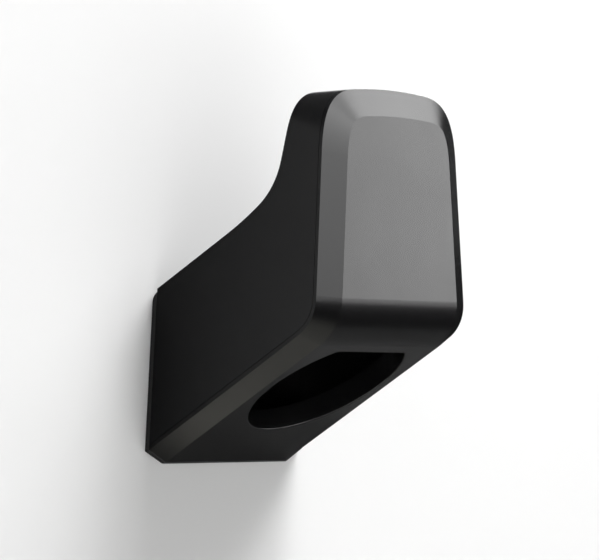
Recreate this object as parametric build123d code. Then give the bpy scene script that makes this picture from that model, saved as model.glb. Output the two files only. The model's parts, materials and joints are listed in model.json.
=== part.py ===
from build123d import *
import os
from math import cos, radians, sin, sqrt, tan

# Wall holder for a vehicle charging connector: a hollow two-part moulding with a raised horn.
# The lead is looped over the saddle behind the horn, and the connector's nose is parked in the
# D-shaped socket in the sloping underside.
# Frame: +Z up, the wall is the plane y = 0 and the holder stands out towards -Y, x = 0 is the
# symmetry plane. The origin is midway between the two wall-screw holes, on the wall's face.
# Everything is modelled with z = 0 at the foot, the shell's lowest edge, and lowered at the end.

# shell outline, side view
SHELL_DEPTH = 83.3            # from the pad to the front face, at the height of the foot
FOOT_TO_SADDLE = 65.0         # height of the upright back
BOTTOM_RISE = 30.6            # slope of the underside, degrees
SADDLE_RISE = 30.2            # slope of the saddle, degrees
SADDLE_RUN = 33.4             # straight part of the saddle, measured along y
SADDLE_SWEEP_R = 130.0        # gentle start of the sweep up into the horn
SADDLE_SWEEP_TURN = 8.0       # degrees turned by the gentle start
HORN_SWEEP_R = 27.4           # tight end of the sweep
HORN_BACK_SLOPE = 78.5        # slope of the horn's back, degrees
FRONT_TILT = 0.65             # the front face leans back by this, degrees
FRONT_FILLET_R = 19.5         # underside to front face

# shell outline, front view
FOOT_WIDTH = 93.2             # across the shell at the foot, at the pad
SIDE_LEAN = 4.4               # each side leans in going up, degrees
SIDE_FLARE = 2.7              # each side opens towards the front, degrees
CROWN_HEIGHT = 138.3          # top of the shell above the foot, at the front face
CROWN_R = 340.0               # arch of the top
CROWN_DRAFT = 1.6             # the top drops towards the back, degrees
SHOULDER_DOWN = 24.7          # each top corner at the front: its length down the side
SHOULDER_ACROSS = 22.6        # and its length across the top
SHOULDER_FULLNESS = 0.73      # reach of its handles towards the corner, so it bends most at its middle
SHOULDER_END = 40.0           # depth from the pad at which it has shrunk, evenly, to its size at the back
SHOULDER_SHARE = 0.195        # share of its lengths that is left there

# bevel band that frames the front and the underside
BEVEL_ACROSS = 10.3
BEVEL_DEPTH = 4.2

# moulding
WALL = 2.0
RIM_HEIGHT = 1.4              # side of the cover below its bevel, as far as the seam
SEAM = 0.2                    # open joint between cover and housing
LIP_LENGTH = 3.0              # the cover's lip behind the seam
LIP_THICKNESS = 1.3
LIP_CLEARANCE = 0.15
RIB_THICKNESS = 1.4
RIB_SPACING = 42.0
RIB_CLEARANCE = 1.0

# socket for the connector's nose
SOCKET_R = 32.0
SOCKET_FLAT = 24.5            # from the centre to the flat, which is on the front side
SOCKET_CENTRE = 55.8          # from the foot, up the slope
SOCKET_CORNER_R = 2.5
SOCKET_EDGE_R = 0.5           # rounding of the socket's mouth
COLLAR_STEP = 0.5             # the collar behind the floor is wider than the mouth by this
COLLAR_WALL = 2.0
COLLAR_DEPTH = 9.0            # from the underside's outer face
NOSE_DEPTH = 33.0             # room kept free for the nose, from the same face
GUSSET_REACH = 5.0
GUSSET_HEIGHT = 8.0
GUSSET_ANGLES = (25.0, 155.0, 205.0, 270.0, 335.0)

# wall fixing
PAD_THICKNESS = 2.0
PAD_CORNER_R = 5.0            # upper corners
PAD_FOOT_R = 2.0              # lower corners
PAD_DROP = 0.6                # the pad shows this far below the foot
WALL_HOLE_R = 2.75
WALL_HOLE_SPACING = 40.0
WALL_HOLE_HEIGHT = 28.0       # above the foot, where a driver reaches them through the socket
SEAT_R = 6.0                  # raised seat round each hole in the back, inside the housing
SEAT_HEIGHT = 1.5

# screws that hold the cover to the housing, driven from behind, under the pad
SCREW_SPACING = 66.0
SCREW_HEIGHT = 14.0
SCREW_R = 1.5
SCREW_LENGTH = 14.0
SCREW_HEAD_R = 3.0
SCREW_HEAD_HEIGHT = 1.6
SCREW_TIP = 1.5
HEAD_CLEARANCE = 0.3
SHANK_CLEARANCE = 0.2         # in the housing
THREAD_CLEARANCE = 0.05       # in the cover's boss
SCREW_BOSS_R = 4.2
PILOT_SPARE = 1.0             # the pilot hole runs on past the tip

# hooks at the top of the cover, behind a crossbar in the housing
HOOK_SPACING = 20.0
HOOK_WIDTH = 8.0
HOOK_THICKNESS = 2.0
HOOK_UPSTAND = 4.0
HOOK_DROP = 13.0              # below the crown
CROSSBAR_THICKNESS = 2.0
CROSSBAR_WIDTH = 40.0
HOOK_CLEARANCE = 0.3

# reach of the solids that cut or bound others
FAR = 2.0 * CROWN_HEIGHT
SPREAD = 20.0
BITE = 1.0                    # overlap of a rib, boss or collar with the wall that carries it

BACK_Y = -PAD_THICKNESS
COVER_DEPTH = BEVEL_DEPTH + RIM_HEIGHT
LIP_DEPTH = COVER_DEPTH + SEAM + LIP_LENGTH
SEAT_Y = BACK_Y - WALL - SEAT_HEIGHT


def tangent(angle):
    return tan(radians(angle))


def slope_point(distance, inset=0.0):
    """Point of the side view, up the underside's slope from the foot and inset from it."""
    rise = radians(BOTTOM_RISE)
    y = BACK_Y - distance * cos(rise) + inset * sin(rise)
    return (y, distance * sin(rise) + inset * cos(rise))


def front_point(height, inset=0.0):
    """Point of the side view, on the front face or inset from it."""
    y = BACK_Y - SHELL_DEPTH + height * tangent(FRONT_TILT) + inset / cos(radians(FRONT_TILT))
    return (y, height)


def front_corner(inset=0.0):
    """Where the underside and the front face would meet, both inset."""
    depth = SHELL_DEPTH - inset / cos(radians(FRONT_TILT))
    foot = inset / cos(radians(BOTTOM_RISE))
    rise = tangent(BOTTOM_RISE)
    height = (depth * rise + foot) / (1.0 + rise * tangent(FRONT_TILT))
    return front_point(height, inset)


def underside(lift=0.0):
    """Plane on the underside's slope: local y runs up the slope from the foot, z points out."""
    y, z = slope_point(0.0, lift)
    rise = radians(BOTTOM_RISE)
    return Plane(origin=(0, y, z), x_dir=(1, 0, 0), z_dir=(0, -sin(rise), -cos(rise)))


def side_profile(spread=0.0):
    """Side view of the shell, running on above the crown, or spread past the cover's two faces."""
    top = CROWN_HEIGHT + SPREAD
    low = front_corner(-spread)
    with BuildSketch(Plane.YZ) as sketch:
        with BuildLine():
            saddle_end = (BACK_Y - SADDLE_RUN, FOOT_TO_SADDLE + SADDLE_RUN * tangent(SADDLE_RISE))
            saddle = Line((BACK_Y, FOOT_TO_SADDLE), saddle_end)
            sweep = JernArc(saddle @ 1, saddle % 1, SADDLE_SWEEP_R, -SADDLE_SWEEP_TURN)
            turn = HORN_BACK_SLOPE - SADDLE_RISE - SADDLE_SWEEP_TURN
            bend = JernArc(sweep @ 1, sweep % 1, HORN_SWEEP_R, -turn)
            rise = top - (bend @ 1).Y
            horn_top = ((bend @ 1).X - rise / tangent(HORN_BACK_SLOPE), top)
            foot = (BACK_Y, -spread / cos(radians(BOTTOM_RISE)))
            Polyline(bend @ 1, horn_top, front_point(top, -spread), low, foot, saddle @ 0)
        make_face()
        corner = sketch.vertices().sort_by_distance(low)[0]
        fillet(corner, FRONT_FILLET_R + spread)
    return sketch.sketch


def cover_zone(depth):
    """Space within a depth of the cover's two faces, and all that lies outside them."""
    top = front_point(CROWN_HEIGHT + 2 * SPREAD, depth)
    low = front_corner(depth)
    with BuildSketch(Plane.YZ) as sketch:
        with BuildLine():
            rear = slope_point(-2 * SPREAD, depth)
            Polyline(rear, low, top, (top[0] - FAR, top[1]), (low[0] - FAR, -FAR), (rear[0], -FAR), rear)
        make_face()
        corner = sketch.vertices().sort_by_distance(low)[0]
        fillet(corner, FRONT_FILLET_R - depth)
    return extrude(sketch.sketch, FAR, both=True)


def arch_end(half, centre, radius):
    """Where a side that leans in from its foot would cross the arch of the top."""
    lean = tangent(SIDE_LEAN)
    mid = lean * half + centre
    gap = half ** 2 + centre ** 2 - radius ** 2
    z = (mid + sqrt(mid ** 2 - (1.0 + lean ** 2) * gap)) / (1.0 + lean ** 2)
    return (half - lean * z, z)


def shoulder(corner, centre, radius, depth, inset):
    """Four control points of a shoulder, from the side to the arch, round the corner that it replaces."""
    x, z = corner
    lean = tangent(SIDE_LEAN)
    shrunk = (SHELL_DEPTH - max(depth, SHOULDER_END)) / (SHELL_DEPTH - SHOULDER_END)
    share = 1.0 - shrunk * (1.0 - SHOULDER_SHARE)
    down = (SHOULDER_DOWN - inset) * share
    across = (SHOULDER_ACROSS - inset) * share
    short = (1.0 - SHOULDER_FULLNESS) * down
    reach = SHOULDER_FULLNESS * across
    arch_x = x - across
    arch_z = centre + sqrt(radius ** 2 - arch_x ** 2)
    handle = (arch_x + reach, arch_z - reach * arch_x / (arch_z - centre))
    return [(x + down * lean, z - down), (x + short * lean, z - short), handle, (arch_x, arch_z)]


def outline(depth, inset=0.0):
    """Front view of the shell at a depth from the pad: leaning sides, arched top and shoulders."""
    lean = tangent(SIDE_LEAN)
    flare = tangent(SIDE_FLARE)
    half = FOOT_WIDTH / 2 + depth * flare - inset * sqrt(1.0 + flare ** 2 + lean ** 2)
    top = CROWN_HEIGHT - (SHELL_DEPTH - depth) * tangent(CROWN_DRAFT) - inset
    radius = CROWN_R - inset
    centre = top - radius
    points = shoulder(arch_end(half, centre, radius), centre, radius, depth, inset)
    foot = (half + 2 * SPREAD * lean, -2 * SPREAD)
    with BuildSketch(Plane.XZ.offset(depth - BACK_Y)) as sketch:
        with BuildLine() as line:
            Line(foot, points[0])
            Bezier(*points)
            RadiusArc(points[-1], (0, top), -radius)
            mirror(line.line, about=Plane.YZ)
            Line((-foot[0], foot[1]), foot)
        make_face()
    return sketch.sketch


def envelope(inset=0.0):
    """The front view carried from behind the pad to before the front face."""
    depths = (-SPREAD, SHOULDER_END, SHELL_DEPTH + SPREAD)
    return loft([outline(depth, inset) for depth in depths], ruled=True)


def unbevelled(inset=0.0, spread=0.0):
    """The shell's form before its bevel, inset on every side."""
    side = side_profile(spread)
    if inset > 0.0:
        side = offset(side, -inset, kind=Kind.INTERSECTION)
    return extrude(side, FAR, both=True) & envelope(inset)


def bevel_scale(inset):
    """The bevel's size on a form inset from the shell, with its flat inset by as much."""
    flat = BEVEL_ACROSS * BEVEL_DEPTH / sqrt(BEVEL_ACROSS ** 2 + BEVEL_DEPTH ** 2)
    return 1.0 + inset * (1.0 / flat - 1.0 / BEVEL_ACROSS - 1.0 / BEVEL_DEPTH)


def shell_form(inset=0.0):
    """The closed shell with the bevel that frames its front and underside."""
    body = unbevelled(inset)
    front = body.faces().filter_by(GeomType.PLANE).sort_by(Axis.Y)[0]
    upright = front.edges().sort_by(Axis.X)[0]
    size = bevel_scale(inset)
    return chamfer(upright, BEVEL_ACROSS * size, BEVEL_DEPTH * size, reference=front)


def well(inset):
    """The shell's sides, top and back alone, inset, open through the front and the underside."""
    return unbevelled(inset, SPREAD)


def rod(x, z, radius, start, end):
    """Round bar along y between two depths."""
    bar = Cylinder(radius, abs(end - start), rotation=(90, 0, 0))
    return Pos(x, (start + end) / 2, z) * bar


def wall_hole_places():
    return [(i * WALL_HOLE_SPACING / 2, WALL_HOLE_HEIGHT) for i in (-1, 1)]


def screw_places():
    return [(i * SCREW_SPACING / 2, SCREW_HEIGHT) for i in (-1, 1)]


def socket_outline(grow=0.0):
    """The socket's D on the underside's plane, grown by a wall."""
    top = SOCKET_CENTRE + SOCKET_FLAT + grow
    with BuildSketch() as sketch:
        with Locations((0, SOCKET_CENTRE)):
            Circle(SOCKET_R + grow)
        with Locations((0, top)):
            Rectangle(FAR, FAR, align=(Align.CENTER, Align.MIN), mode=Mode.SUBTRACT)
        fillet(sketch.vertices(), SOCKET_CORNER_R + grow)
    return sketch.sketch


def socket_prism(start, end, grow=0.0):
    """The socket's D between two depths behind the underside."""
    return extrude(underside(start) * socket_outline(grow), -(end - start))


def socket_bore():
    """What the socket takes away: its D through the floor, its rounded mouth and the collar's bore."""
    through = socket_prism(-BITE, WALL)
    slab = extrude(underside() * Rectangle(FAR, FAR), -WALL)
    drilled = slab - through
    plane = underside()
    outermost = max(drilled.faces().filter_by(plane), key=lambda face: plane.to_local_coords(face.center()).Z)
    rounded = fillet(outermost.inner_wires()[0].edges(), SOCKET_EDGE_R)
    return through + (slab - rounded) + socket_prism(WALL, COLLAR_DEPTH + BITE, COLLAR_STEP)


def gussets():
    """Small webs from the collar to the floor, round the socket."""
    root = SOCKET_R + COLLAR_STEP + COLLAR_WALL - BITE
    base = WALL - BITE
    web = Polyline((root, -base), (root + GUSSET_REACH, -base), (root, -base - GUSSET_HEIGHT), (root, -base))
    one = extrude(make_face(Plane.XZ * web), RIB_THICKNESS / 2, both=True)
    place = underside().location * Pos(0, SOCKET_CENTRE, 0)
    return [place * Rot(0, 0, angle) * one for angle in GUSSET_ANGLES]


def top_hooks():
    """Two hooks of the cover that reach behind the housing's crossbar."""
    z = CROWN_HEIGHT - HOOK_DROP
    wall_y = front_point(z, WALL - BITE)[0]
    lip_y = front_point(z, LIP_DEPTH)[0] + 2 * HOOK_CLEARANCE + CROSSBAR_THICKNESS
    end_y = lip_y + HOOK_THICKNESS
    solids = []
    for hand in (-1, 1):
        x = hand * HOOK_SPACING / 2
        leg = Box(HOOK_WIDTH, end_y - wall_y, HOOK_THICKNESS, align=(Align.CENTER, Align.MIN, Align.MAX))
        upstand = Box(HOOK_WIDTH, HOOK_THICKNESS, HOOK_UPSTAND, align=(Align.CENTER, Align.MIN, Align.MIN))
        solids += [Pos(x, wall_y, z) * leg, Pos(x, lip_y, z) * upstand]
    return solids


def crossbar():
    """Bar across the top of the housing, inside, that the cover's hooks catch."""
    z = CROWN_HEIGHT - HOOK_DROP + HOOK_CLEARANCE
    y = front_point(z, LIP_DEPTH)[0] + HOOK_CLEARANCE
    bar = Box(CROSSBAR_WIDTH, CROSSBAR_THICKNESS, FAR, align=(Align.CENTER, Align.MIN, Align.MIN))
    return Pos(0, y, z) * bar


def inner_ribs():
    """Upright ribs under the saddle and in the horn, clear of the nose and of the cover."""
    slab = Box(RIB_THICKNESS, 2 * FAR, 2 * FAR)
    below_nose = extrude(underside(NOSE_DEPTH) * Rectangle(FAR, 4 * FAR), FAR)
    cut = cover_zone(LIP_DEPTH + RIB_CLEARANCE) + below_nose
    return [Pos(hand * RIB_SPACING / 2, 0, 0) * slab - cut for hand in (-1, 1)]


def make_housing():
    """Rear moulding: sides, top, back, saddle and the horn's back, open towards the cover."""
    outer = shell_form()
    inner = well(WALL)
    body = outer - inner
    inside = well(WALL - BITE)
    for web in inner_ribs() + [crossbar()]:
        body += web & inside
    for x, z in wall_hole_places() + screw_places():
        body += rod(x, z, SEAT_R, BACK_Y - BITE, SEAT_Y)
    body -= cover_zone(COVER_DEPTH + SEAM)
    for x, z in wall_hole_places():
        body -= rod(x, z, WALL_HOLE_R, BACK_Y + BITE, SEAT_Y - BITE)
    for x, z in screw_places():
        body -= rod(x, z, SCREW_HEAD_R + HEAD_CLEARANCE, BACK_Y + BITE, BACK_Y - SCREW_HEAD_HEIGHT)
        body -= rod(x, z, SCREW_R + SHANK_CLEARANCE, BACK_Y, SEAT_Y - BITE)
    return body


def make_front_cover():
    """Front moulding: front face, underside, bevel, lip, socket collar, bosses and hooks."""
    body = (shell_form() - shell_form(WALL)) & cover_zone(COVER_DEPTH)
    lip = well(WALL + LIP_CLEARANCE) - well(WALL + LIP_CLEARANCE + LIP_THICKNESS)
    for x, z in screw_places():
        lip -= rod(x, z, SEAT_R + LIP_CLEARANCE, BACK_Y, SEAT_Y - SEAM)
    core = shell_form(WALL - BITE)
    body += lip & cover_zone(LIP_DEPTH) & core
    body += socket_prism(BITE, COLLAR_DEPTH, COLLAR_STEP + COLLAR_WALL)
    for web in gussets() + top_hooks():
        body += web
    boss_end = BACK_Y - (SCREW_HEIGHT + SCREW_BOSS_R) / tangent(BOTTOM_RISE)
    for x, z in screw_places():
        body += rod(x, z, SCREW_BOSS_R, SEAT_Y - SEAM, boss_end) & core
    body -= socket_bore()
    tip = BACK_Y - SCREW_HEAD_HEIGHT - SCREW_LENGTH
    for x, z in screw_places():
        body -= rod(x, z, SCREW_R + THREAD_CLEARANCE, BACK_Y, tip - PILOT_SPARE)
    return body


def make_wall_pad():
    """Soft pad between the holder and the wall, cut to the back's outline."""
    back = shell_form().faces().sort_by(Axis.Y)[-1]
    pad = Pos(0, 0, -PAD_DROP) * extrude(back, PAD_THICKNESS, dir=(0, 1, 0))
    corners = pad.edges().filter_by(Axis.Y).sort_by(Axis.Z)
    pad = fillet(corners[-2:], PAD_CORNER_R)
    corners = pad.edges().filter_by(Axis.Y).sort_by(Axis.Z)
    pad = fillet(corners[:2], PAD_FOOT_R)
    for x, z in wall_hole_places():
        pad -= rod(x, z, WALL_HOLE_R, BACK_Y - BITE, BITE)
    return pad


def make_cover_screws():
    """Two pan-head self-tapping screws as one group."""
    seat = BACK_Y - SCREW_HEAD_HEIGHT
    solids = []
    for x, z in screw_places():
        head = rod(x, z, SCREW_HEAD_R, BACK_Y, seat)
        shank = rod(x, z, SCREW_R, seat, seat - SCREW_LENGTH + SCREW_TIP)
        tip = Cone(SCREW_R, SCREW_R / 4, SCREW_TIP, rotation=(90, 0, 0))
        solids.append(head + shank + Pos(x, seat - SCREW_LENGTH + SCREW_TIP / 2, z) * tip)
    return Compound(solids)


def main():
    os.makedirs("parts", exist_ok=True)
    drop = Pos(0, 0, -WALL_HOLE_HEIGHT)
    makers = {
        "housing": make_housing,
        "front_cover": make_front_cover,
        "wall_pad": make_wall_pad,
        "cover_screws": make_cover_screws,
    }
    for name, make in makers.items():
        part = drop * make()
        print(name, round(part.volume), len(part.solids()), part.is_valid)
        export_step(part, "parts/" + name + ".step")


if __name__ == "__main__":
    main()
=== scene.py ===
import json
from math import ceil, pi, radians

import bmesh
import bpy
from bpy.props import FloatProperty, FloatVectorProperty, IntProperty, PointerProperty
from mathutils import Matrix, Vector


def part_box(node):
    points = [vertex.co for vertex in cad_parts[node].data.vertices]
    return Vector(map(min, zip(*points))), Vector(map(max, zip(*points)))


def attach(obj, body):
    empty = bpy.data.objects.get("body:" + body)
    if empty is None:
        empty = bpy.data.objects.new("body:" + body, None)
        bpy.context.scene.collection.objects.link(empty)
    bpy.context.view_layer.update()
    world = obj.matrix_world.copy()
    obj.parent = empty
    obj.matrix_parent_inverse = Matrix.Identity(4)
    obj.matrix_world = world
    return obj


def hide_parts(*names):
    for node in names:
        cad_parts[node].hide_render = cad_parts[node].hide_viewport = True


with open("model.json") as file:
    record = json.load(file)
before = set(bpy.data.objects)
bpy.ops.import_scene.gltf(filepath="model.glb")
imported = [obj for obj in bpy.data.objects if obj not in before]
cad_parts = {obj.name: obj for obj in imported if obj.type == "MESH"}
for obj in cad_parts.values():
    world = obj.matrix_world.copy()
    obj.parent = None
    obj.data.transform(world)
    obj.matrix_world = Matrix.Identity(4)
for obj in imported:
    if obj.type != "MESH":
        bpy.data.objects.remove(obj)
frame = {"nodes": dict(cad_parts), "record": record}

# Wall holder for a vehicle charging connector, in a plain studio.
# The two mouldings and the pad carry over from the frame and are given their finishes here.
# The two cover screws are modelled with their thread and their cross recess.
# Lengths are in metres, +Z is up, the wall is the plane y = 0 and the holder stands out along -Y.

bl_info = {
    "name": "Charging connector holder",
    "version": (1, 0, 0),
    "blender": (4, 5, 0),
    "location": "View3D > Sidebar > Holder",
    "description": "Finishes, screws and studio for a wall holder that parks a charging connector",
    "category": "Object",
}

BODY = "root"
MM = 0.001
TOUCH = MM / 1000                # points nearer than this are one

BLACK_ABS = "#111112"
BLACK_RUBBER = "#1C1C1D"
ZINC = "#C3C6C8"
WALL_PAINT = "#F2F2F2"
FLOOR_PAPER = "#E6E6E5"
# tones of the cards that only reflections see: painted reflections
CARD_BLACK = "#020202"
CARD_GREY = "#4A4A4A"
CARD_ASH = "#545454"
CARD_SLATE = "#646464"
CARD_SMOKE = "#7C7C7C"
CARD_WARM = "#A1A099"
CARD_PALE = "#A6A6A6"
CARD_CREAM = "#F4F2E6"

CLIP_START, CLIP_END = 0.1, 50.0

# One turn of the thread: how far out from the core to the crest, and how far down the turn.
# The root is wide and the ridge narrow, as on a screw for plastic.
THREAD_TURN = ((0.0, 0.0), (0.0, 0.55), (1.0, 0.72), (1.0, 0.8), (0.0, 0.97), (0.0, 1.0))
TIP_WIDTH = 0.25                 # of the screw's end, as a share of the shank's
# The pan head's curve: how far out from the crown's flat to the rim, and how far down the head.
PAN_CURVE = ((0.0, 0.0), (0.4, 0.05), (0.7, 0.18), (0.9, 0.4), (1.0, 0.68), (1.0, 0.94))
RIM_CUT = 0.06                   # of the rim's lower edge, as a share of the head's height
RECESS_FLOOR = 0.5               # width of the recess at its floor, as a share of its mouth's
SHARP_EDGE = radians(35)         # edges that turn less than this are shaded smooth

PATCH_SIDES = 32                 # of the wall's round patches behind the pad's holes
MATT = {"Roughness": 0.9, "Specular IOR Level": 0.1}

# Directions that the stage's flats face.
UP = (0, 0, 1)
FROM_WALL = (0, -1, 0)
TO_WALL = (0, 1, 0)
LEFT = (-1, 0, 0)

ON_WALL = -0.0005                # cards on the wall hang just in front of it
LEDGE = -0.13                    # height of the cards a hand's width below the holder
GROUND = -0.34                   # height of the cards just above the floor

# The black faces mirror the room, so these cards, which only reflections see, are painted reflections: each
# card's shade sets the tone of the faces that mirror it.
# Each row is a name, two opposite corners, the direction faced and a finish.
CARDS = (
    ("card_right", (0.35, ON_WALL, LEDGE), (0.62, ON_WALL, 0.5), FROM_WALL, "black"),
    ("card_side", (0.62, -0.34, -0.3), (0.62, 0.3, 0.3), LEFT, "black"),
    ("card_low", (0.62, -0.4, -0.3), (0.62, -0.34, 0.14), LEFT, "black"),
    ("card_tall", (0.62, -0.12, 0.3), (0.62, 0.3, 0.9), LEFT, "black"),
    ("card_below", (0.08, -1.4, LEDGE), (1.6, -0.165, LEDGE), UP, "black"),
    ("card_floor", (-0.25, -1.4, GROUND), (0.5, -0.62, GROUND), UP, "black"),
    ("card_fade", (-0.25, -0.62, GROUND), (0.5, -0.2, GROUND), UP, "faded"),
    ("card_front", (-0.5, -1.44, GROUND), (0.9, -1.44, 0.0), TO_WALL, "black"),
    ("card_under", (0.05, -0.165, LEDGE), (0.8, ON_WALL, LEDGE), UP, "ash"),
    ("card_foot", (-0.05, ON_WALL, LEDGE), (0.12, ON_WALL, -0.03), FROM_WALL, "grey"),
    ("card_beside", (0.05, ON_WALL, -0.03), (0.12, ON_WALL, 0.06), FROM_WALL, "grey"),
    ("card_beyond", (0.12, ON_WALL, LEDGE), (0.35, ON_WALL, -0.06), FROM_WALL, "smoke"),
    ("card_flank", (0.12, ON_WALL, -0.06), (0.35, ON_WALL, 0.06), FROM_WALL, "black"),
    ("card_warm", (-0.1, -0.2, GROUND), (0.5, ON_WALL, GROUND), UP, "warm"),
    ("card_cream", (-0.05, ON_WALL, GROUND), (0.35, ON_WALL, LEDGE), FROM_WALL, "cream"),
    # this card's fade, slate next to the holder and pale further left, is painted shade: the wall's shade
    # beside the holder as the left faces mirror it
    ("card_left", (-0.25, ON_WALL, -0.1), (-0.036, ON_WALL, 0.15), FROM_WALL, "graded"),
    ("card_top", (-0.25, ON_WALL, 0.15), (0.12, ON_WALL, 0.4), FROM_WALL, "grey"),
)
PLAIN_CARDS = {
    "black": CARD_BLACK,
    "grey": CARD_GREY,
    "ash": CARD_ASH,
    "smoke": CARD_SMOKE,
    "cream": CARD_CREAM,
    "warm": CARD_WARM,
}
# Each fading card, a painted gradient of light and shade in the reflections: its two colours, the axis that it
# fades along, and where the fade starts and ends.
REFLECTION_FADE_CARDS = {
    # the first fade, darker next to the holder, is painted shade in the reflections
    "graded": (CARD_SLATE, CARD_PALE, "X", -0.05, -0.13),
    "faded": (CARD_BLACK, CARD_WARM, "Y", -0.58, -0.33),
}

AIM = (0.0, -0.06, 0.05)         # the softboxes face this point, near the holder's middle
EVEN = (0.0, 0.0)
# Each row is a name, the setting with its brightness, its direction from the aim, its distance, width and
# height, and how much brighter it gets across its face and up it.
SHEEN_BOXES = (
    ("key_softbox", "key", (0.887, -0.462, 0.344), 1.3, 0.58, 1.0, (-0.2, -0.15)),
    ("front_softbox", "front", (0.10, -0.99, 0.28), 1.5, 1.0, 0.9, (0.0, 1.7)),
    ("corner_softbox", "corner", (0.510, -0.677, 0.530), 1.4, 0.55, 0.8, EVEN),
    ("rear_softbox", "front", (0.0, 1.0, 0.25), 1.6, 0.5, 0.5, EVEN),
)
TOP_BOX = ("top_softbox", "top", (0.32, -0.46, 1.02), 1.3, 0.85, 0.85, EVEN)


def linear(code):
    """An sRGB hex colour as linear red, green and blue."""
    channels = [int(code[i:i + 2], 16) / 255.0 for i in (1, 3, 5)]
    return [c / 12.92 if c <= 0.04045 else ((c + 0.055) / 1.055) ** 2.4 for c in channels]


def add_node(tree, kind, attributes=None, values=None, links=None):
    """Adds one node, with its attributes, its input values and the outputs that feed its inputs."""
    node = tree.nodes.new(kind)
    for name, value in (attributes or {}).items():
        setattr(node, name, value)
    for name, value in (values or {}).items():
        node.inputs[name].default_value = value
    for name, output in (links or {}).items():
        tree.links.new(output, node.inputs[name])
    return node


def new_material(name):
    """An empty node material with its output."""
    material = bpy.data.materials.new(name)
    material.use_nodes = True
    tree = material.node_tree
    tree.nodes.clear()
    return material, tree, add_node(tree, "ShaderNodeOutputMaterial")


def dress(piece, material):
    """Gives every face of a piece one material."""
    piece.data.materials.clear()
    piece.data.materials.append(material)
    for face in piece.data.polygons:
        face.material_index = 0


def end_finish(tree, output, settings, grain, gloss, strength, values):
    """Ends a finish whose relief follows its grain, and whose roughness strays with its gloss pattern."""
    relief = add_node(
        tree, "ShaderNodeBump", values={"Strength": strength, "Distance": settings.grain_depth},
        links={"Height": grain.outputs["Fac"]},
    )
    smoothest = settings.roughness - settings.gloss_spread
    roughest = settings.roughness + settings.gloss_spread
    roughness = add_node(
        tree, "ShaderNodeMapRange", values={"To Min": smoothest, "To Max": roughest},
        links={"Value": gloss.outputs["Fac"]},
    )
    shader = add_node(
        tree, "ShaderNodeBsdfPrincipled", values={"Base Color": (*settings.colour, 1.0), **values},
        links={"Roughness": roughness.outputs["Result"], "Normal": relief.outputs["Normal"]},
    )
    tree.links.new(shader.outputs["BSDF"], output.inputs["Surface"])


def moulded_abs(name, settings):
    """Injection-moulded black ABS from a spark-eroded tool: an even satin sheen with no visible pigment."""
    material, tree, output = new_material(name)
    place = add_node(tree, "ShaderNodeTexCoord").outputs["Object"]
    # the eroded texture, about 0.1 mm on the part, is drawn at the pitch that a picture can hold
    grain = add_node(
        tree, "ShaderNodeTexNoise",
        values={"Scale": 1.0 / settings.grain_pitch, "Detail": 3.0, "Roughness": 0.6}, links={"Vector": place},
    )
    # slow change of gloss where the melt flowed and the tool is polished unevenly
    flow = add_node(
        tree, "ShaderNodeTexNoise",
        values={"Scale": 1.0 / settings.flow_pitch, "Detail": 2.0, "Roughness": 0.5}, links={"Vector": place},
    )
    end_finish(tree, output, settings, grain, flow, strength=0.5, values={"IOR": 1.5})
    return material


def sheet_rubber(name, settings):
    """Black sheet rubber with a cloth-pressed face: matt, and a little paler than the plastic."""
    material, tree, output = new_material(name)
    place = add_node(tree, "ShaderNodeTexCoord").outputs["Object"]
    press = add_node(
        tree, "ShaderNodeTexNoise",
        values={"Scale": 1.0 / settings.grain_pitch, "Detail": 4.0, "Roughness": 0.7}, links={"Vector": place},
    )
    end_finish(tree, output, settings, press, press, strength=0.6, values={"IOR": 1.52})
    return material


def zinc_plated_steel(name, settings):
    """Bright zinc plating on a rolled steel screw: a cold white metal with a faint crystal grain."""
    material, tree, output = new_material(name)
    place = add_node(tree, "ShaderNodeTexCoord").outputs["Object"]
    plating = add_node(
        tree, "ShaderNodeTexNoise",
        values={"Scale": 1.0 / settings.grain_pitch, "Detail": 3.0, "Roughness": 0.6}, links={"Vector": place},
    )
    end_finish(tree, output, settings, plating, plating, strength=0.5, values={"Metallic": 1.0})
    return material


class HolderCamera(bpy.types.PropertyGroup):
    location: FloatVectorProperty(
        name="Location", description="Where the camera stands", subtype="TRANSLATION", unit="LENGTH", size=3,
        default=(-1.13136, -0.92056, -0.00531),
    )
    azimuth: FloatProperty(
        name="Azimuth", description="Direction of view, turned from +Y towards +X", unit="ROTATION",
        default=radians(52.022),
    )
    pitch: FloatProperty(
        name="Pitch", description="How far the camera looks up", unit="ROTATION", default=radians(1.831),
    )
    lens: FloatProperty(
        name="Lens", description="Focal length in millimetres", unit="CAMERA", default=228.28,
    )
    sensor: FloatProperty(
        name="Sensor", description="Sensor width in millimetres", unit="CAMERA", default=36.0,
    )


class HolderMouldings(bpy.types.PropertyGroup):
    colour: FloatVectorProperty(
        name="Colour", description="Colour of the black ABS", subtype="COLOR", size=3, min=0.0, max=1.0,
        default=linear(BLACK_ABS),
    )
    roughness: FloatProperty(
        name="Roughness", description="Roughness of the satin face", subtype="FACTOR", min=0.0, max=1.0,
        default=0.26,
    )
    gloss_spread: FloatProperty(
        name="Gloss spread", description="How far the roughness strays", min=0.0, default=0.02,
    )
    grain_pitch: FloatProperty(
        name="Grain pitch", description="Spacing of the eroded texture", unit="LENGTH", default=0.5 * MM,
    )
    grain_depth: FloatProperty(
        name="Grain depth", description="Height of the eroded texture", unit="LENGTH", default=0.003 * MM,
    )
    flow_pitch: FloatProperty(
        name="Flow pitch", description="Size of the patches of changing gloss", unit="LENGTH",
        default=22.0 * MM,
    )


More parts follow.
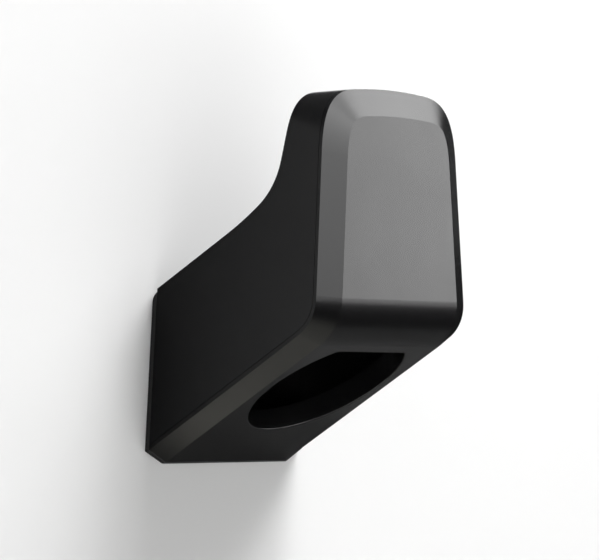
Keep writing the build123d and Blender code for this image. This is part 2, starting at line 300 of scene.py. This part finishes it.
class HolderPad(bpy.types.PropertyGroup):
    colour: FloatVectorProperty(
        name="Colour", description="Colour of the rubber", subtype="COLOR", size=3, min=0.0, max=1.0,
        default=linear(BLACK_RUBBER),
    )
    roughness: FloatProperty(
        name="Roughness", description="Roughness of the pressed face", subtype="FACTOR", min=0.0, max=1.0,
        default=0.7,
    )
    gloss_spread: FloatProperty(
        name="Gloss spread", description="How far the roughness strays", min=0.0, default=0.08,
    )
    grain_pitch: FloatProperty(
        name="Grain pitch", description="Spacing of the pressed texture", unit="LENGTH", default=0.6 * MM,
    )
    grain_depth: FloatProperty(
        name="Grain depth", description="Height of the pressed texture", unit="LENGTH", default=0.05 * MM,
    )


class HolderScrews(bpy.types.PropertyGroup):
    head_height: FloatProperty(
        name="Head height", description="Height of the pan head", unit="LENGTH", default=1.6 * MM,
    )
    crown_radius: FloatProperty(
        name="Crown radius", description="Radius of the flat on the head", unit="LENGTH", default=1.9 * MM,
    )
    thread_radius: FloatProperty(
        name="Thread radius", description="Radius over the thread", unit="LENGTH", default=1.5 * MM,
    )
    core_radius: FloatProperty(
        name="Core radius", description="Radius at the root of the thread", unit="LENGTH", default=1.05 * MM,
    )
    pitch: FloatProperty(
        name="Pitch", description="Advance of the thread in a turn", unit="LENGTH", default=1.3 * MM,
    )
    tip: FloatProperty(
        name="Tip", description="Length of the tapered point", unit="LENGTH", default=1.5 * MM,
    )
    recess_depth: FloatProperty(
        name="Recess depth", description="Depth of the cross recess", unit="LENGTH", default=1.1 * MM,
    )
    recess_reach: FloatProperty(
        name="Recess reach", description="Reach of each arm of the cross", unit="LENGTH", default=1.35 * MM,
    )
    recess_width: FloatProperty(
        name="Recess width", description="Width of each arm of the cross", unit="LENGTH", default=0.7 * MM,
    )
    sides: IntProperty(name="Sides", description="Facets round the screw", default=24, min=12)
    colour: FloatVectorProperty(
        name="Colour", description="Colour of the zinc", subtype="COLOR", size=3, min=0.0, max=1.0,
        default=linear(ZINC),
    )
    roughness: FloatProperty(
        name="Roughness", description="Roughness of the plating", subtype="FACTOR", min=0.0, max=1.0,
        default=0.31,
    )
    gloss_spread: FloatProperty(
        name="Gloss spread", description="How far the roughness strays", min=0.0, default=0.07,
    )
    grain_pitch: FloatProperty(
        name="Grain pitch", description="Size of the crystals in the plating", unit="LENGTH",
        default=0.3 * MM,
    )
    grain_depth: FloatProperty(
        name="Grain depth", description="Height of the crystals in the plating", unit="LENGTH",
        default=0.004 * MM,
    )


class HolderStage(bpy.types.PropertyGroup):
    wall_left: FloatProperty(
        name="Wall left", description="Reach of the wall to the left", unit="LENGTH", default=0.9,
    )
    wall_right: FloatProperty(
        name="Wall right", description="Reach of the wall to the right", unit="LENGTH", default=0.3,
    )
    wall_top: FloatProperty(
        name="Wall top", description="Reach of the wall upwards", unit="LENGTH", default=0.5,
    )
    wall_foot: FloatProperty(
        name="Wall foot", description="Reach of the wall downwards", unit="LENGTH", default=0.35,
    )
    wall_gap: FloatProperty(
        name="Wall gap", description="Gap between the pad and the wall", unit="LENGTH", default=0.2 * MM,
    )
    pad_margin: FloatProperty(
        name="Pad margin", description="How far the wall runs behind the pad's edge", unit="LENGTH",
        default=1.0 * MM,
    )
    pad_heel: FloatProperty(
        name="Pad heel", description="Cut of the pad's lower corners, across", unit="LENGTH",
        default=9.9 * MM,
    )
    pad_rise: FloatProperty(
        name="Pad rise", description="Cut of the pad's lower corners, upwards", unit="LENGTH",
        default=4.7 * MM,
    )
    pad_taper: FloatProperty(
        name="Pad taper", description="How much narrower each side of the pad is at its top", unit="LENGTH",
        default=4.3 * MM,
    )
    pad_crown: FloatProperty(
        name="Pad crown", description="Cut of the pad's upper corners", unit="LENGTH", default=4.4 * MM,
    )
    floor_size: FloatProperty(
        name="Floor size", description="Side of the floor", unit="LENGTH", default=14.0,
    )
    floor_lift: FloatProperty(
        name="Floor lift", description="Share of the floor's paleness that needs no light", subtype="FACTOR",
        min=0.0, max=1.0, default=0.6,
    )
    wall_colour: FloatVectorProperty(
        name="Wall colour", description="Paint of the wall", subtype="COLOR", size=3, min=0.0, max=1.0,
        default=linear(WALL_PAINT),
    )
    floor_colour: FloatVectorProperty(
        name="Floor colour", description="Paper of the floor", subtype="COLOR", size=3, min=0.0, max=1.0,
        default=linear(FLOOR_PAPER),
    )


class HolderLights(bpy.types.PropertyGroup):
    key: FloatProperty(
        name="Key", description="Brightness of the large softbox, where white is 1", default=4.35,
    )
    front: FloatProperty(
        name="Front", description="Brightness of the front and rear softboxes", default=3.1,
    )
    corner: FloatProperty(
        name="Corner", description="Brightness of the softbox between key and front", default=2.9,
    )
    top: FloatProperty(name="Top", description="Brightness of the overhead softbox", default=12.6)
    room: FloatProperty(name="Room", description="Brightness of the dim room", default=0.28)


class HOLDER_OT_camera(bpy.types.Operator):
    """Places the camera at the picture's point of view"""

    bl_idname = "holder.camera"
    bl_label = "Camera"

    def execute(self, context):
        settings = context.scene.holder_camera
        data = bpy.data.cameras.new("picture_camera")
        data.sensor_width = settings.sensor
        data.lens = settings.lens
        data.clip_start = CLIP_START
        data.clip_end = CLIP_END
        camera = bpy.data.objects.new("picture_camera", data)
        camera.location = settings.location
        camera.rotation_euler = (pi / 2 + settings.pitch, 0.0, -settings.azimuth)
        context.collection.objects.link(camera)
        context.scene.camera = camera
        return {"FINISHED"}


class HOLDER_OT_mouldings(bpy.types.Operator):
    """Finishes the housing and the front cover"""

    bl_idname = "holder.mouldings"
    bl_label = "Mouldings"

    def execute(self, context):
        material = moulded_abs("moulded_black_abs", context.scene.holder_mouldings)
        for node in ("housing", "front_cover"):
            dress(frame["nodes"][node], material)
        return {"FINISHED"}


class HOLDER_OT_pad(bpy.types.Operator):
    """Finishes the rubber pad between the holder and the wall"""

    bl_idname = "holder.pad"
    bl_label = "Wall pad"

    def execute(self, context):
        dress(frame["nodes"]["wall_pad"], sheet_rubber("pressed_sheet_rubber", context.scene.holder_pad))
        return {"FINISHED"}


def make_object(name, bm, material):
    """An object of one material from a bmesh, which is freed."""
    mesh = bpy.data.meshes.new(name)
    bm.to_mesh(mesh)
    bm.free()
    mesh.materials.append(material)
    made = bpy.data.objects.new(name, mesh)
    bpy.context.collection.objects.link(made)
    return made


def chain(bm, points, closed=False):
    """Vertices through the points and the edges that join them in turn."""
    verts = [bm.verts.new(point) for point in points]
    ends = verts[1:] + verts[:1] if closed else verts[1:]
    return verts, [bm.edges.new(pair) for pair in zip(verts, ends)]


def whole(bm):
    """All that a bmesh holds."""
    return bm.verts[:] + bm.edges[:] + bm.faces[:]


def only_verts(geometry):
    """The vertices of what an operator returns."""
    return [item for item in geometry if isinstance(item, bmesh.types.BMVert)]


def close_at(bm, height, edges=()):
    """Fills what the open edges at one height enclose, up to any other edges that are given."""
    rim = [
        edge for edge in bm.edges
        if edge.is_boundary and all(abs(vert.co.z - height) < TOUCH for vert in edge.verts)
    ]
    bmesh.ops.triangle_fill(bm, use_beauty=True, edges=rim + list(edges))


def cut_thread(bm, settings, top, end):
    """The threaded shank from top down to end, tapered to its point, with its upper end left open."""
    core, pitch = settings.core_radius, settings.pitch
    ridge = settings.thread_radius - core
    # a turn is added at each end, so that both cuts below go through whole turns
    turns = ceil((top - end) / pitch) + 2
    profile = [(core + out * ridge, 0.0, top + (1.0 - down) * pitch) for out, down in THREAD_TURN]
    verts, edges = chain(bm, profile)
    bmesh.ops.spin(
        bm, geom=verts + edges, cent=(0, 0, 0), axis=UP, dvec=(0, 0, -pitch / settings.sides),
        angle=turns * 2 * pi, steps=turns * settings.sides,
    )
    bmesh.ops.remove_doubles(bm, verts=bm.verts, dist=TOUCH)
    for height, keep_below in ((top, True), (end, False)):
        bmesh.ops.bisect_plane(
            bm, geom=whole(bm), dist=TOUCH / 10, plane_co=(0, 0, height), plane_no=UP,
            clear_outer=keep_below, clear_inner=not keep_below,
        )
    for vert in bm.verts:
        share = min((vert.co.z - end) / settings.tip, 1.0)
        vert.co.xy *= TIP_WIDTH + (1.0 - TIP_WIDTH) * share
    close_at(bm, end)


def form_head(bm, settings, radius):
    """The pan head, its crown at height 0 and its lower side left open, with the cross recess sunk in it."""
    height = settings.head_height
    flat = settings.crown_radius
    profile = [(flat + out * (radius - flat), 0.0, -down * height) for out, down in PAN_CURVE]
    profile += [(radius - RIM_CUT * height, 0.0, -height), (flat, 0.0, -height)]
    verts, edges = chain(bm, profile)
    bmesh.ops.spin(
        bm, geom=verts + edges, cent=(0, 0, 0), axis=UP, dvec=(0, 0, 0), angle=2 * pi,
        steps=settings.sides, use_merge=True,
    )
    reach, half = settings.recess_reach, settings.recess_width / 2
    arm = ((reach, -half), (reach, half), (half, half))
    corners = []
    for _ in range(4):
        corners += arm
        arm = [(-y, x) for x, y in arm]
    _, mouth = chain(bm, [(x, y, 0.0) for x, y in corners], closed=True)
    close_at(bm, 0.0, mouth)
    floor = only_verts(bmesh.ops.extrude_edge_only(bm, edges=mouth)["geom"])
    bmesh.ops.scale(bm, vec=(RECESS_FLOOR, RECESS_FLOOR, 1.0), verts=floor)
    bmesh.ops.translate(bm, vec=(0, 0, -settings.recess_depth), verts=floor)
    close_at(bm, -settings.recess_depth)


class HOLDER_OT_screws(bpy.types.Operator):
    """Models the two self-tapping screws that hold the cover, in the places that the frame gives"""

    bl_idname = "holder.screws"
    bl_label = "Cover screws"

    def execute(self, context):
        settings = context.scene.holder_screws
        low, high = (Vector(corner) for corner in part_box("cover_screws"))
        radius = (high.z - low.z) / 2
        spacing = high.x - low.x - 2 * radius
        bm = bmesh.new()
        cut_thread(bm, settings, -settings.head_height, low.y - high.y)
        form_head(bm, settings, radius)
        close_at(bm, -settings.head_height)
        if any(len(edge.link_faces) != 2 for edge in bm.edges):
            raise RuntimeError("the screw isn't closed")
        bmesh.ops.recalc_face_normals(bm, faces=bm.faces)
        bmesh.ops.rotate(bm, cent=(0, 0, 0), matrix=Matrix.Rotation(-pi / 2, 3, "X"), verts=bm.verts)
        bmesh.ops.translate(bm, vec=(-spacing / 2, high.y, (low.z + high.z) / 2), verts=bm.verts)
        twin = only_verts(bmesh.ops.duplicate(bm, geom=whole(bm))["geom"])
        bmesh.ops.translate(bm, vec=(spacing, 0, 0), verts=twin)
        for face in bm.faces:
            face.smooth = True
        for edge in bm.edges:
            edge.smooth = edge.calc_face_angle() < SHARP_EDGE
        plated = zinc_plated_steel("bright_zinc_plated_steel", settings)
        screws = make_object("threaded_cover_screws", bm, plated)
        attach(screws, BODY)
        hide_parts("cover_screws")
        return {"FINISHED"}


def plane(name, low, high, facing, material):
    """A flat rectangle between two opposite corners, square to the direction that it faces."""
    bm = bmesh.new()
    bmesh.ops.create_grid(bm, x_segments=1, y_segments=1, size=0.5)
    turn = Vector(UP).rotation_difference(Vector(facing)).to_matrix()
    bmesh.ops.rotate(bm, cent=(0, 0, 0), matrix=turn, verts=bm.verts)
    span = Vector(high) - Vector(low)
    bmesh.ops.scale(bm, vec=span, verts=bm.verts)
    bmesh.ops.translate(bm, vec=Vector(low) + span / 2, verts=bm.verts)
    obj = make_object(name, bm, material)
    return obj


def wall_round_pad(name, low, high, opening, patches, material):
    """A wall that faces -Y, open behind the pad but for a round patch behind each of the pad's holes."""
    bm = bmesh.new()
    depth = low[1]
    edges = []
    outline = [(low[0], low[2]), (high[0], low[2]), (high[0], high[2]), (low[0], high[2])]
    for corners in (outline, opening):
        edges += chain(bm, [(x, depth, z) for x, z in corners], closed=True)[1]
    bmesh.ops.triangle_fill(bm, use_beauty=True, edges=edges, normal=FROM_WALL)
    for x, z, radius in patches:
        disc = bmesh.ops.create_circle(bm, cap_ends=True, segments=PATCH_SIDES, radius=radius)["verts"]
        bmesh.ops.rotate(bm, cent=(0, 0, 0), matrix=Matrix.Rotation(pi / 2, 3, "X"), verts=disc)
        bmesh.ops.translate(bm, vec=(x, depth, z), verts=disc)
    bm.normal_update()
    bmesh.ops.reverse_faces(bm, faces=[face for face in bm.faces if face.normal.y > 0])
    wall = make_object(name, bm, material)


def seen_directly(tree):
    """1 for the rays that show a surface itself, in the picture, a gloss or glass, and 0 for the rest."""
    path = add_node(tree, "ShaderNodeLightPath")
    either = add_node(
        tree, "ShaderNodeMath", {"operation": "MAXIMUM"},
        links={0: path.outputs["Is Camera Ray"], 1: path.outputs["Is Glossy Ray"]},
    )
    any_of = add_node(
        tree, "ShaderNodeMath", {"operation": "MAXIMUM"},
        links={0: either.outputs["Value"], 1: path.outputs["Is Transmission Ray"]},
    )
    return any_of.outputs["Value"]


def matt_paint(name, colour, one_sided=False, lift=0.0):
    """Matt emulsion or paper, seen through from behind if it is one-sided, and paler to the eye by its lift."""
    material, tree, output = new_material(name)
    paint = add_node(tree, "ShaderNodeBsdfPrincipled", values={"Base Color": (*colour, 1.0), **MATT})
    surface = paint.outputs["BSDF"]
    if lift:
        share = add_node(tree, "ShaderNodeMath", {"operation": "MULTIPLY"}, {1: lift}, {0: seen_directly(tree)})
        glow = add_node(tree, "ShaderNodeEmission", values={"Color": (*colour, 1.0), "Strength": 1.0})
        lifted = add_node(
            tree, "ShaderNodeMixShader",
            links={0: share.outputs["Value"], 1: surface, 2: glow.outputs["Emission"]},
        )
        surface = lifted.outputs["Shader"]
    if one_sided:
        back = add_node(tree, "ShaderNodeNewGeometry").outputs["Backfacing"]
        clear = add_node(tree, "ShaderNodeBsdfTransparent").outputs["BSDF"]
        surface = add_node(tree, "ShaderNodeMixShader", links={0: back, 1: surface, 2: clear}).outputs["Shader"]
    tree.links.new(surface, output.inputs["Surface"])
    return material


def reflection_fade_card(name, near, far, axis, start, end):
    """Matt card whose colour fades from one to another along an axis, with no visible edge; on the cards that
    only reflections see, the fade is a painted gradient of light and shade in them.
    """
    material, tree, output = new_material(name)
    place = add_node(tree, "ShaderNodeTexCoord").outputs["Object"]
    along = add_node(tree, "ShaderNodeSeparateXYZ", links={"Vector": place}).outputs[axis]
    fade = add_node(
        tree, "ShaderNodeMapRange", values={"From Min": start, "From Max": end}, links={"Value": along},
    )
    # the mix node's colours are its inputs 6 and 7 and its output 2
    colour = add_node(
        tree, "ShaderNodeMix", {"data_type": "RGBA"}, {6: (*near, 1.0), 7: (*far, 1.0)},
        {0: fade.outputs["Result"]},
    )
    surface = add_node(
        tree, "ShaderNodeBsdfPrincipled", values=MATT, links={"Base Color": colour.outputs[2]},
    )
    tree.links.new(surface.outputs["BSDF"], output.inputs["Surface"])
    return material


class HOLDER_OT_stage(bpy.types.Operator):
    """Builds the wall, the floor and the cards that only reflections see, painted reflections that give the
    black faces their tones
    """

    bl_idname = "holder.stage"
    bl_label = "Stage"

    def execute(self, context):
        settings = context.scene.holder_stage
        wall_paint = matt_paint("matt_wall_paint", settings.wall_colour, one_sided=True)
        floor_paper = matt_paint("matt_floor_paper", settings.floor_colour, lift=settings.floor_lift)
        gap = settings.wall_gap
        foot = -settings.wall_foot
        margin = settings.pad_margin
        heel, rise = settings.pad_heel, settings.pad_rise
        taper, crown = settings.pad_taper, settings.pad_crown
        left, _, pad_foot = (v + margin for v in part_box("wall_pad")[0])
        right, _, pad_top = (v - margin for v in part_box("wall_pad")[1])
        behind_pad = [
            (left + heel, pad_foot), (right - heel, pad_foot), (right, pad_foot + rise),
            (right - taper, pad_top - crown), (right - taper - crown, pad_top),
            (left + taper + crown, pad_top), (left + taper, pad_top - crown), (left, pad_foot + rise),
        ]
        screws = next(mount for mount in frame["record"]["mounts"] if mount["name"] == "wall_screws")
        middle, _, height = screws["pos_m"]
        reach = screws["dims"]["spacing_x_mm"] * MM / 2
        radius = screws["dims"]["hole_r_mm"] * MM + gap
        patches = [(middle + side * reach, height, radius) for side in (-1, 1)]
        wall_low = (-settings.wall_left, gap, foot)
        wall_high = (settings.wall_right, gap, settings.wall_top)
        wall_round_pad("wall", wall_low, wall_high, behind_pad, patches, wall_paint)
        half = settings.floor_size / 2
        plane("floor", (-half, -half, foot), (half, half, foot), UP, floor_paper)
        finishes = {}
        for finish, code in PLAIN_CARDS.items():
            finishes[finish] = matt_paint(finish + "_card", linear(code))
        for finish, (near, far, *fade) in REFLECTION_FADE_CARDS.items():
            finishes[finish] = reflection_fade_card(finish + "_card", linear(near), linear(far), *fade)
        for name, low, high, facing, finish in CARDS:
            card = plane(name, low, high, facing, finishes[finish])
            # the cards show in reflections alone, as painted reflections, and neither light nor shade anything
            card.visible_camera = False
            card.visible_diffuse = False
            card.visible_transmission = False
            card.visible_shadow = False
        return {"FINISHED"}


def softbox(name, direction, distance, width, height, slant, brightness):
    """A rectangular lamp that faces the aim, with a mean brightness that may slant across its face."""
    data = bpy.data.lights.new(name, "AREA")
    data.shape = "RECTANGLE"
    data.size = width
    data.size_y = height
    data.energy = brightness * pi * width * height
    data.use_nodes = True
    tree = data.node_tree
    tree.nodes.clear()
    output = add_node(tree, "ShaderNodeOutputLight")
    face = add_node(tree, "ShaderNodeNewGeometry").outputs["Parametric"]
    across = add_node(
        tree, "ShaderNodeVectorMath", {"operation": "DOT_PRODUCT"}, {1: (*slant, 0.0)}, {0: face},
    )
    # the face runs from 0 to 1 both ways, so this start keeps the mean at 1
    level = add_node(
        tree, "ShaderNodeMath", {"operation": "ADD"}, {1: 1.0 - sum(slant) / 2}, {0: across.outputs["Value"]},
    )
    glow = add_node(tree, "ShaderNodeEmission", links={"Strength": level.outputs["Value"]})
    tree.links.new(glow.outputs["Emission"], output.inputs["Surface"])
    lamp = bpy.data.objects.new(name, data)
    towards = Vector(direction).normalized()
    lamp.location = Vector(AIM) + towards * distance
    lamp.rotation_euler = towards.to_track_quat("Z", "Y").to_euler()
    bpy.context.collection.objects.link(lamp)
    return lamp


class HOLDER_OT_lights(bpy.types.Operator):
    """Hangs the softboxes and sets the room's light"""

    bl_idname = "holder.lights"
    bl_label = "Lights"

    def execute(self, context):
        settings = context.scene.holder_lights
        # these show in the sheen alone, and the overhead softbox lights all but the sheen
        for name, setting, *place in SHEEN_BOXES:
            softbox(name, *place, getattr(settings, setting)).visible_diffuse = False
        name, setting, *place = TOP_BOX
        softbox(name, *place, getattr(settings, setting)).visible_glossy = False

        world = bpy.data.worlds.new("studio_room")
        context.scene.world = world
        world.use_nodes = True
        tree = world.node_tree
        tree.nodes.clear()
        output = add_node(tree, "ShaderNodeOutputWorld")
        white = (1.0, 1.0, 1.0, 1.0)
        seen = add_node(tree, "ShaderNodeBackground", values={"Color": white, "Strength": 1.0})
        room = add_node(tree, "ShaderNodeBackground", values={"Color": white, "Strength": settings.room})
        mix = add_node(
            tree, "ShaderNodeMixShader",
            links={0: seen_directly(tree), 1: room.outputs["Background"], 2: seen.outputs["Background"]},
        )
        tree.links.new(mix.outputs["Shader"], output.inputs["Surface"])
        context.scene.view_settings.view_transform = "Standard"
        return {"FINISHED"}


class HOLDER_PT_studio(bpy.types.Panel):
    """Lists the holder's pieces and its studio"""

    bl_label = "Charging connector holder"
    bl_idname = "HOLDER_PT_studio"
    bl_space_type = "VIEW_3D"
    bl_region_type = "UI"
    bl_category = "Holder"

    def draw(self, context):
        for operator, group in STEPS:
            box = self.layout.box()
            box.operator(operator.bl_idname)
            settings = getattr(context.scene, group)
            for name in settings.__annotations__:
                box.prop(settings, name)


STEPS = (
    (HOLDER_OT_camera, "holder_camera"),
    (HOLDER_OT_mouldings, "holder_mouldings"),
    (HOLDER_OT_pad, "holder_pad"),
    (HOLDER_OT_screws, "holder_screws"),
    (HOLDER_OT_stage, "holder_stage"),
    (HOLDER_OT_lights, "holder_lights"),
)
GROUPS = {
    "holder_camera": HolderCamera,
    "holder_mouldings": HolderMouldings,
    "holder_pad": HolderPad,
    "holder_screws": HolderScrews,
    "holder_stage": HolderStage,
    "holder_lights": HolderLights,
}


def register():
    for name, group in GROUPS.items():
        bpy.utils.register_class(group)
        setattr(bpy.types.Scene, name, PointerProperty(type=group))
    for operator, _ in STEPS:
        bpy.utils.register_class(operator)
    bpy.utils.register_class(HOLDER_PT_studio)


def unregister():
    bpy.utils.unregister_class(HOLDER_PT_studio)
    for operator, _ in STEPS:
        bpy.utils.unregister_class(operator)
    for name, group in GROUPS.items():
        delattr(bpy.types.Scene, name)
        bpy.utils.unregister_class(group)


def main():
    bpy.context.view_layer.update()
    register()
    bpy.ops.holder.camera()
    bpy.ops.holder.mouldings()
    bpy.ops.holder.pad()
    bpy.ops.holder.screws()
    bpy.ops.holder.stage()
    bpy.ops.holder.lights()


if __name__ == "__main__":
    main()
